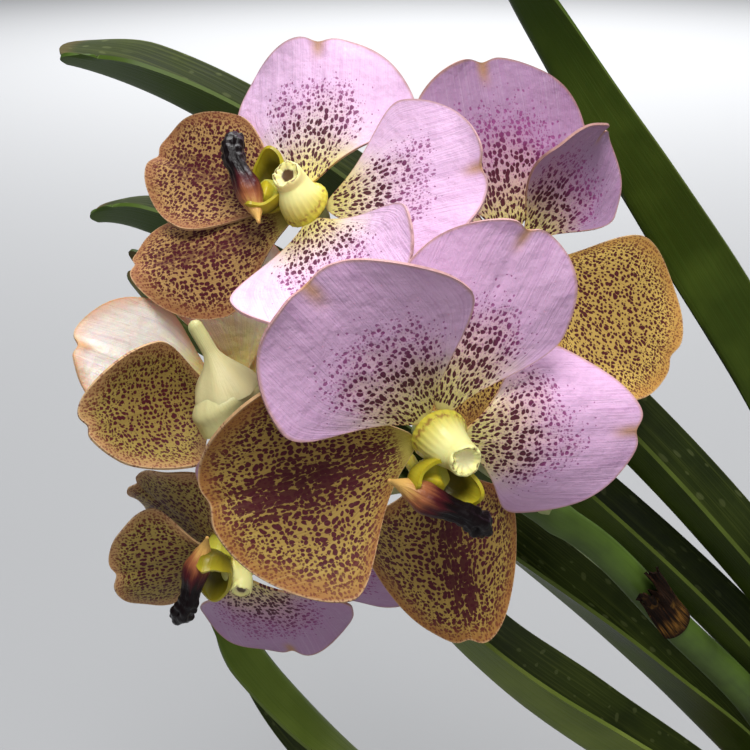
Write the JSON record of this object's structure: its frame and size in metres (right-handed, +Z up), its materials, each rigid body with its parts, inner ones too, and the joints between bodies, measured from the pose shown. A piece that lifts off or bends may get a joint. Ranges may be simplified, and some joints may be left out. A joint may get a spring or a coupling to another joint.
{
  "type": "potted vanda orchid",
  "caption": "Potted vanda orchid: two ranks of arching strap leaves, aerial roots and a spike of large spotted blooms in a clay pot.",
  "frame": {"origin": "centre of the pot's foot, on the surface it stands on", "axes": "+Z up along the pot's axis; -Y is the front, which the blooms face; +X is to the right seen from the front, and the leaves lie in two ranks along X"},
  "size_m": [0.5681, 0.1826, 0.5247],
  "materials": {
    "clay": "matte unglazed terracotta",
    "bark": "rough dry bark chips",
    "stem": "dull green clasping sheaths with dry edges",
    "root": "chalky grey-green skin with green growing ends",
    "leaf": "glossy above and dull olive beneath, fine veins along it",
    "spike": "satin green skin",
    "bract": "dry papery brown scale",
    "rose_tepal": "silky lilac pink, cream at the claw, maroon spots",
    "tawny_sepal": "satin olive-yellow and tan, dense dark maroon spots",
    "lip": "glossy near-black maroon, yellow side lobes",
    "column": "waxy cream and yellow"
  },
  "bodies": {
    "root": {"pot": "clay", "potting_bark": "bark", "stem": "stem", "root_1": "root", "root_2": "root", "root_3": "root", "root_4": "root", "root_5": "root", "leaf_left_6": "leaf", "leaf_left_5": "leaf", "leaf_left_4": "leaf", "leaf_left_3": "leaf", "leaf_left_2": "leaf", "leaf_left_1": "leaf", "leaf_right_6": "leaf", "leaf_right_5": "leaf", "leaf_right_4": "leaf", "leaf_right_3": "leaf", "leaf_right_2": "leaf", "leaf_right_1": "leaf", "flower_spike": "spike", "spike_bract": "bract", "bloom_1_dorsal_sepal": "rose_tepal", "bloom_1_petal_left": "rose_tepal", "bloom_1_petal_right": "rose_tepal", "bloom_1_lateral_sepal_left": "tawny_sepal", "bloom_1_lateral_sepal_right": "tawny_sepal", "bloom_1_lip": "lip", "bloom_1_column": "column", "bloom_2_dorsal_sepal": "rose_tepal", "bloom_2_petal_left": "rose_tepal", "bloom_2_petal_right": "rose_tepal", "bloom_2_lateral_sepal_left": "tawny_sepal", "bloom_2_lateral_sepal_right": "tawny_sepal", "bloom_2_lip": "lip", "bloom_2_column": "column", "bloom_3_dorsal_sepal": "rose_tepal", "bloom_3_petal_left": "rose_tepal", "bloom_3_petal_right": "rose_tepal", "bloom_3_lateral_sepal_left": "tawny_sepal", "bloom_3_lateral_sepal_right": "tawny_sepal", "bloom_3_lip": "lip", "bloom_3_column": "column", "bloom_4_dorsal_sepal": "rose_tepal", "bloom_4_petal_left": "rose_tepal", "bloom_4_petal_right": "rose_tepal", "bloom_4_lateral_sepal_left": "tawny_sepal", "bloom_4_lateral_sepal_right": "tawny_sepal", "bloom_4_lip": "lip", "bloom_4_column": "column", "bloom_5_dorsal_sepal": "rose_tepal", "bloom_5_petal_left": "rose_tepal", "bloom_5_petal_right": "rose_tepal", "bloom_5_lateral_sepal_left": "tawny_sepal", "bloom_5_lateral_sepal_right": "tawny_sepal", "bloom_5_lip": "lip", "bloom_5_column": "column"}
  },
  "joints": []
}
